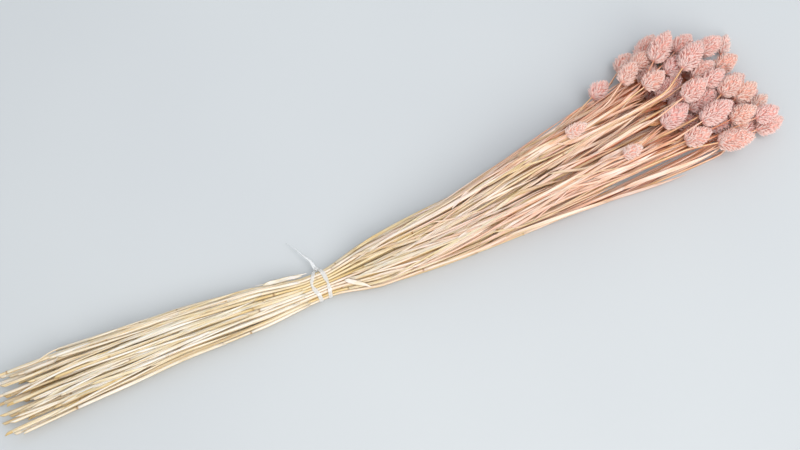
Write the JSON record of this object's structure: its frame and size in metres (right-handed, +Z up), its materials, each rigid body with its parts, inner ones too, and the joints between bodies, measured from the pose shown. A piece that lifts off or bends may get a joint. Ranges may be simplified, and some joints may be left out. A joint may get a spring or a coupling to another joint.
{
  "type": "dried canary grass bunch",
  "caption": "Bunch of dried grass stems with dyed ovoid flower heads, held by a clear plastic tie and lying on a table.",
  "frame": {"origin": "on the table, under the middle of the tie, on the flat underside of its strap", "axes": "+X along the stems from the tie to the heads, +Y across the bunch, +Z up from the table"},
  "size_m": [0.6876, 0.1283, 0.0537],
  "materials": {
    "straw": "dry straw, satin",
    "dyed_head": "dyed dry flower scales, matt",
    "tie_plastic": "clear flat film"
  },
  "bodies": {
    "root": {"stems_row_1": "straw", "head_1_01": "dyed_head", "head_1_02": "dyed_head", "head_1_03": "dyed_head", "head_1_04": "dyed_head", "head_1_05": "dyed_head", "head_1_06": "dyed_head", "head_1_07": "dyed_head", "head_1_08": "dyed_head", "head_1_09": "dyed_head", "stems_row_2": "straw", "head_2_01": "dyed_head", "head_2_02": "dyed_head", "head_2_03": "dyed_head", "head_2_04": "dyed_head", "head_2_05": "dyed_head", "head_2_06": "dyed_head", "head_2_07": "dyed_head", "head_2_08": "dyed_head", "head_2_09": "dyed_head", "head_2_10": "dyed_head", "stems_row_3": "straw", "head_3_01": "dyed_head", "head_3_02": "dyed_head", "head_3_03": "dyed_head", "head_3_04": "dyed_head", "head_3_05": "dyed_head", "head_3_06": "dyed_head", "head_3_07": "dyed_head", "head_3_08": "dyed_head", "head_3_09": "dyed_head", "head_3_10": "dyed_head", "head_3_11": "dyed_head", "stems_row_4": "straw", "head_4_01": "dyed_head", "head_4_02": "dyed_head", "head_4_03": "dyed_head", "head_4_04": "dyed_head", "head_4_05": "dyed_head", "head_4_06": "dyed_head", "head_4_07": "dyed_head", "head_4_08": "dyed_head", "head_4_09": "dyed_head", "head_4_10": "dyed_head", "stems_row_5": "straw", "head_5_01": "dyed_head", "head_5_02": "dyed_head", "head_5_03": "dyed_head", "head_5_04": "dyed_head", "head_5_05": "dyed_head", "head_5_06": "dyed_head", "head_5_07": "dyed_head", "head_5_08": "dyed_head", "tie": "tie_plastic"}
  },
  "joints": []
}
